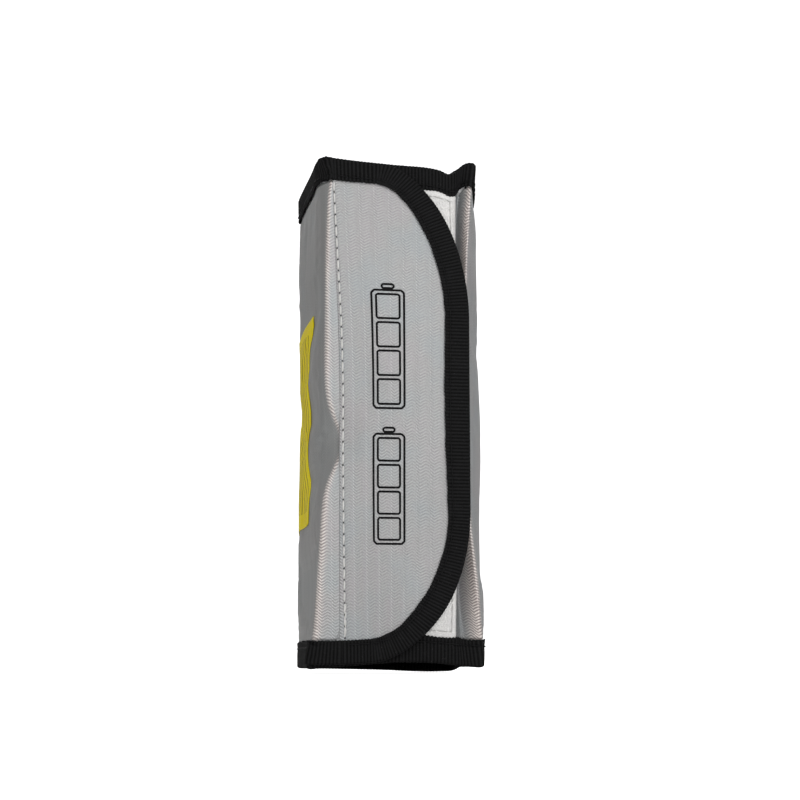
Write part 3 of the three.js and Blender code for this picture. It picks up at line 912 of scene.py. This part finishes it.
def pits(name, row, length, look, where):
    """The needle holes between stitches: small dimples painted dark as the shade inside the holes."""
    count, pitch = spaced(length, STITCH)
    sides, radius = 8, 0.36
    turn = circle(sides)[:, None]
    t = np.arange(count + 1) * pitch
    middle = row(t, 0 * t)
    up = unit(row(t, 0 * t + 0.1) - middle)
    along = unit(row(t + 0.1, 0 * t) - middle)
    middle, up, along, side = (v[:, None] for v in (middle, up, along, np.cross(along, up)))
    spoke = 1.25 * np.cos(turn) * along + 0.8 * np.sin(turn) * side
    rim, inner = middle + radius * spoke + 0.03 * up, middle + radius * 0.5 * spoke
    verts = np.concatenate([rim, inner, middle - 0.02 * up], axis=1)
    faces = []
    for base in range(0, verts.shape[0] * verts.shape[1], verts.shape[1]):
        for j in range(sides):
            a, b = base + j, base + (j + 1) % sides
            faces += [(a, b, b + sides, a + sides), (a + sides, b + sides, base + 2 * sides)]
    complete(new_object(name, verts, faces), look, where)


def sewn_row(sheet, line, out, side=1):
    """A row of stitches along a line on a sheet's outer side (1) or inner side (-1)."""
    line, s = resample(np.array(line, float), 0.3)

    def row(t, raised):
        a, b = along_line(t, s, line).T
        return sheet.at(a, b, out + side * raised)

    return row, s[-1]


def make_flap_threads(white, black, dark):
    """The white seam down the flap, its needle holes and its back-tack, and the tape's black stitches."""
    x, foot = SEAM_X, FLAP_LOW[2]
    seam, length = sewn_row(flap, [(x, foot + 8.7), (x, FLAP_HIGH[2] - 8.3)], 0.24)
    stitches("flap_seam_stitches", seam, length, white, "seam", "flap_seam_thread", radius=0.33)
    pits("flap_seam_holes", seam, length, dark, "seam")
    tack, length = sewn_row(flap, [(x + 0.2, foot + 9.4), (x + 0.35, foot + 21)], 0.36)
    stitches("flap_seam_backtack", tack, length, white, "seam", radius=0.27, pitch=3.3)
    _, inward = flap_tape()
    places = np.column_stack(inward(np.array([[CHANNEL]])))
    beyond = places[:, 0] > SEAM_X + 0.8
    around, length = sewn_row(flap, places[beyond], 1.06)
    stitches("flap_binding_stitches", around, length, black, "seam", "flap_binding_thread")


# ---- Hook-and-loop closure
def patch(name, place, a, b, thickness, tape, where, node):
    """A strip of tape lying on a sheet, with an uneven face."""
    rng = np.random.default_rng(5)
    a, b = grid(a, b)
    points = place(a, b, rng.uniform(-0.05, 0.05, a.shape))
    ob = grid_object(name, points, np.stack([a, b], -1))
    complete(ob, tape, where, node, thickness=thickness)


def tufts(name, place, a_range, b_range, spacing, height, hooked, tape, where):
    """Loops or hooks standing on a strip in loose rows: ribbons bent in an arch, a hook's cut short."""
    rng = np.random.default_rng(7)
    rows, ranks = (int((high - low) / spacing) for low, high in (a_range, b_range))
    i, j = (places.ravel() for places in grid(np.arange(rows), np.arange(ranks)))
    count, bends = len(i), 6
    a = a_range[0] + (i + 0.5 + rng.uniform(-0.25, 0.25, count)) * spacing
    b = b_range[0] + (j + 0.5 + rng.uniform(-0.25, 0.25, count)) * spacing
    if hooked:
        lean = rng.uniform(-0.15, 0.15, count) + math.pi * (i % 2)
    else:
        lean = rng.uniform(-1.2, 1.2, count)
    sweep = np.linspace(0, math.pi, bends)
    along = spacing * (0.3 if hooked else 0.42) * np.cos(sweep)
    out = height * np.sin(sweep) + 0.05
    if hooked:
        out[-2:] = height * 0.75
    a = a[:, None] + along * np.sin(lean)[:, None]
    b = b[:, None] + along * np.cos(lean)[:, None]
    centre = place(a, b, np.broadcast_to(out, a.shape))
    side = np.stack([np.cos(lean), 0 * lean, -np.sin(lean)], -1)[:, None] * 0.09
    verts = np.stack([centre - side, centre + side], 2).reshape(-1, 3)
    start = 2 * bends * np.arange(count)[:, None] + 2 * np.arange(bends - 1)
    faces = np.stack([start, start + 2, start + 3, start + 1], -1).reshape(-1, 4).tolist()
    ob = new_object(name, verts, faces)
    lay_cloth(ob, verts[:, [0, 2]])
    complete(ob, tape, where, thickness=0.14)


def sewn_round(left, low, right, high, inset):
    """The line that a strip's stitches follow, inset from its edges."""
    left, low, right, high = left + inset, low + inset, right - inset, high - inset
    return [(left, low), (right, low), (right, high), (left, high), (left, low)]


def make_loop_strip(tape, thread):
    """The loop strip on the lip, reaching under the tape at both ends."""
    left, right = LOOP_LOW[0], LOOP_HIGH[0]
    low, high = LOOP_REACH + 0.5, HEIGHT - LOOP_REACH
    face = HALF_CLOTH + 0.1

    def on_lip(a, b, out):
        """A place on the strip, which is narrower at its foot and held down where the tape covers it."""
        a = a - (0.3 + 1.1 * ease(60, 15, b)) * ease(left, right, a)
        covered = ease(low + 1.4, low + 0.3, b) + ease(high - 1.4, high - 0.3, b)
        return body.at(a, b, face + out - 0.5 * covered)

    patch("loop_tape", lambda a, b, out: on_lip(a, b, 0.3 + out), np.arange(left, right + 0.1, 0.65),
          np.linspace(low, high, 258), 0.5, tape, "bag", "loop_strip")
    tufts("loop_pile", lambda a, b, out: on_lip(a, b, 0.45 + out), (left + 0.4, right - 0.4),
          (low + 1.5, high - 1.5), 1.0, 0.16, False, tape, "bag")
    row, length = sewn_row(body, sewn_round(left, low, right, high, 3.0), face + 0.75)
    stitches("loop_tape_stitches", row, length, thread, "bag", "loop_strip_thread")


def make_hook_strip(tape, thread):
    """The hook strip on the inside of the flap."""
    left, right = HOOK_LOW[0], HOOK_HIGH[0]
    low, high = HOOK_LOW[2], HOOK_HIGH[2]
    face = -0.25 - 0.1
    patch("hook_tape", lambda a, b, out: flap.at(a, b, face - 0.25 + 0.3 * out),
          np.arange(left, right + 0.1, 0.8), np.arange(low, high + 0.1, 0.8), 0.4, tape, "flap", "hook_strip")
    tufts("hook_rows", lambda a, b, out: flap.at(a, b, face - 0.4 - out), (left + 0.4, right - 0.4),
          (low + 0.4, high - 0.4), 1.5, 0.32, True, tape, "flap")
    row, length = sewn_row(flap, sewn_round(left, low, right, high, 2.0), face - 0.5, side=-1)
    stitches("hook_tape_stitches", row, length, thread, "flap", "hook_strip_thread")


# ---- Label, print and end panels
def wall_place(y):
    """Where a depth on the left wall lies along the body's cloth."""
    u = np.linspace(AT_BACK_LEFT, AT_FOLD, 200)
    depth = body.at(u, 140)[:, 1]
    return np.interp(-np.asarray(y), -depth, u)


def make_label(film):
    """A film label pressed on to the uneven left wall."""
    z = np.linspace(LABEL_LOW[2], LABEL_HIGH[2], 90)
    rear, front = wall_place(LABEL_HIGH[1]), wall_place(LABEL_FRONT_Y)
    share = np.linspace(0, 1, 46)[:, None]
    corner = 5.0 * ease(LABEL_HIGH[2] - 14, LABEL_HIGH[2], z)
    u = rear + (front - rear + corner) * share
    grid_z = np.broadcast_to(z, u.shape) - 1.2 * (1 - share)
    lift = 0.08 * np.sin(grid_z / 6.5) * ease(0.8, 1, share)
    points = body.at(u, grid_z, HALF_CLOTH + 0.22 + lift)
    uv = np.stack([u - rear, grid_z - z[0]], -1)
    complete(grid_object("side_label_film", points, uv), film, "bag", "side_label", thickness=0.2)


def box_outline(left, low, right, high, corner=0.5):
    """A rectangle with its corners cut a little, drawn anticlockwise."""
    return np.array([
        (left + corner, low), (right - corner, low), (right, low + corner), (right, high - corner),
        (right - corner, high), (left + corner, high), (left, high - corner), (left, low + corner),
    ])


def battery_outlines(low, high):
    """A plain battery sign with four bars and a terminal on top."""
    left, right = PRINT_LEFT, PRINT_LEFT + PRINT_WIDTH
    gap, bars, top = 1.5, 4, high - 2.2
    pitch = (top - low - gap) / bars
    shapes = [box_outline(left, low, right, top, 1.0), box_outline(left + 3.6, top + 0.7, right - 3.6, high)]
    for k in range(bars):
        bar = low + gap + k * pitch
        shapes.append(box_outline(left + 1.6, bar, right - 1.6, bar + pitch - gap))
    return shapes


def make_print(black_ink):
    """Two plain battery signs printed up the flap."""
    verts, faces = [], []
    for shape in battery_outlines(44.2, 86.0) + battery_outlines(93.0, 138.2):
        line, _ = resample(np.concatenate([shape, shape[:1]]), 0.45)
        line = line[:-1]
        side = beside(line) * PRINT_STROKE / 2
        base, n = len(verts), len(line)
        for edge in (line - side, line + side):
            verts.extend(flap.at(*edge.T, 0.31))
        faces.extend((base + j, base + (j + 1) % n, base + n + (j + 1) % n, base + n + j) for j in range(n))
    complete(new_object("flap_print", verts, faces), black_ink, "flap", thickness=0.05)


def make_end_panels(cloth):
    """Each end is a panel set back inside the seam, slack in the middle."""
    centre = np.array([0.0, (LIP_Y + BACK_Y) / 2])
    up_the_wall = (1.0, 3.0, 5.0, 7.0, 8.6)
    for end, sign, floor in (("top", -1, HEIGHT - 10.6), ("bottom", 1, 10.6)):
        _, _, ring, outward = ring_place(end == "top")
        ring, outward = ring[:-1:4], outward[:-1:4]
        wall = ring[:, :2] - outward
        around = np.unwrap(np.arctan2(*(wall - centre).T[::-1]))
        turned = (around - around[0]) * np.sign(around[-1] - around[0])
        # Points where the wall doubles back are left out.
        forward = np.diff(np.maximum.accumulate(turned), prepend=-1.0) > 1e-4
        ring, wall, around = ring[forward], wall[forward], around[forward]
        rows = [np.column_stack([wall, ring[:, 2] + sign * (depth - 1)]) for depth in up_the_wall]
        for share in np.concatenate([[0.985, 0.95], np.linspace(0.88, 0.02, 22)]):
            xy = centre + (wall - centre) * share
            sag = -2.2 * (1 - share**2)
            ripple = 0.5 * np.sin(xy[:, 0] / 7 + 1) * np.cos(xy[:, 1] / 9) * (1 - share)
            gather = 0.6 * np.sin(around * 7) * share**2 * (1 - share)
            turn_up = -sign * 5 * max(share - 0.9, 0)
            rows.append(np.column_stack([xy, floor + sag + ripple + gather + turn_up]))
        points = np.stack(rows)
        uv = points[..., :2].copy()
        walls = slice(len(up_the_wall))
        uv[walls, :, 1] += points[walls, :, 2] - floor
        ob = grid_object(f"{end}_end_cloth", points, uv, wrap_v=True, cap=True, bead=0.0, weave=0.8, dull=0.0)
        complete(ob, cloth, "bag", f"{end}_end_panel", thickness=0.6)


# ---- Stage
def make_stage():
    """A pale floor that turns up into a wall well behind the bag, and glows for the camera only."""
    near, bend_start, bend_radius, wall_top, half_width = -3.0, 1.2, 0.6, 4.0, 4.0
    profile = [(near, 0.0), (bend_start, 0.0)]
    for a in np.linspace(0.15, math.pi / 2, 10):
        profile.append((bend_start + bend_radius * math.sin(a), bend_radius * (1 - math.cos(a))))
    profile.append((bend_start + bend_radius, wall_top))
    points = np.array([[(x, y, z) for y, z in profile] for x in (-half_width, half_width)]) / MM
    floor = grid_object("floor", points)
    look = Look("pale_floor")
    base = look.mix(look.noise(look.object_place(), 3.0), grey(0.80), grey(0.84))
    seen = look.node("LightPath").outputs["Is Camera Ray"]
    glow = look.times(seen, 0.95)
    white = look.finish(base, 0.9, Emission_Color=grey(1), Emission_Strength=glow)
    floor.data.materials.append(white)


def area_light(name, place, target, size, power):
    """A rectangular lamp aimed at the target, in metres and watts."""
    lamp = bpy.data.lights.new(name, "AREA")
    lamp.shape = "RECTANGLE"
    lamp.size, lamp.size_y = size
    lamp.energy = power
    ob = add_object(name, lamp)
    ob.location = place
    ob.rotation_euler = (Vector(target) - Vector(place)).to_track_quat("-Z", "Y").to_euler()


def make_lights():
    """Three soft lamps, and a dim sky that the camera sees as white."""
    middle = (0, 0, 0.09)
    area_light("key", (0.2, -0.88, 0.4), middle, (0.7, 0.9), 5.0)
    area_light("fill", (-0.9, -0.5, 0.3), middle, (0.5, 0.9), 1.3)
    area_light("back", (0.1, 0.7, 0.7), middle, (0.8, 0.5), 4)
    world = bpy.data.worlds.new("studio")
    sky = Nodes(world)
    direction = sky.node("TexCoord").outputs["Generated"]
    sideways = sky.node("SeparateXYZ", {0: direction}).outputs["X"]
    dim = sky.steps(sideways, -0.9, 0.9, 0.24, 0.34, "LINEAR")
    seen = sky.node("LightPath").outputs["Is Camera Ray"]
    background = sky.tree.nodes["Background"]
    sky.put(background.inputs["Strength"], sky.math("MAXIMUM", dim, seen))
    sky.put(background.inputs["Color"], grey(1))
    scene.world = world
    scene.view_settings.view_transform = "Standard"


def make_camera():
    """The camera at the photo's viewing angle."""
    data = bpy.data.cameras.new("camera")
    data.lens = LENS
    data.clip_start = 0.01
    ob = add_object("camera", data)
    ob.location = CAMERA_PLACE
    ob.rotation_euler = (math.radians(90 + CAMERA_RISE), 0, math.radians(CAMERA_TURN))
    scene.camera = ob


# ---- Build
cloth_grid = np.linspace(0, AT_END, 82), np.linspace(1, HEIGHT - 1, 62)
drape(body, *cloth_grid, body_hold, slack=0.005, limit=0.6)
# Each look is a material and the slot it belongs to.
flap_silver = silver_cloth("flap_silver", 0.84), "silver_cloth"
body_silver = silver_cloth("body_silver", 0.90), "silver_cloth"
tape_black = black_tape("tape_black"), "black_tape"
white = thread_look("thread_white", (0.84, 0.83, 0.80), (1.0, 0.99, 0.97), 0.1), "white_thread"
black = thread_look("thread_black", (0.003, 0.003, 0.003), (0.014, 0.014, 0.015), 0.0), "black_thread"
loops = napped("loop_white", (0.78, 0.77, 0.75), (0.93, 0.92, 0.90)), "loop_pile"
hooks = napped("hook_white", (0.62, 0.61, 0.60), (0.82, 0.81, 0.79)), "hook_tape"

make_body_cloth(body_silver)
make_fold_cloth(body_silver)
make_flap_cloth(flap_silver)
make_flap_binding(tape_black)
make_hinge_bindings(tape_black)
make_end_bindings(tape_black, black)
make_flap_threads(white, black, (pit_look("needle_dark"), "black_thread"))
make_loop_strip(loops, white)
make_hook_strip(hooks, white)
make_label((label_film("label_yellow"), "yellow_label"))
make_print((ink("print_black"), "black_thread"))
make_end_panels(body_silver)
make_stage()
make_lights()
make_camera()
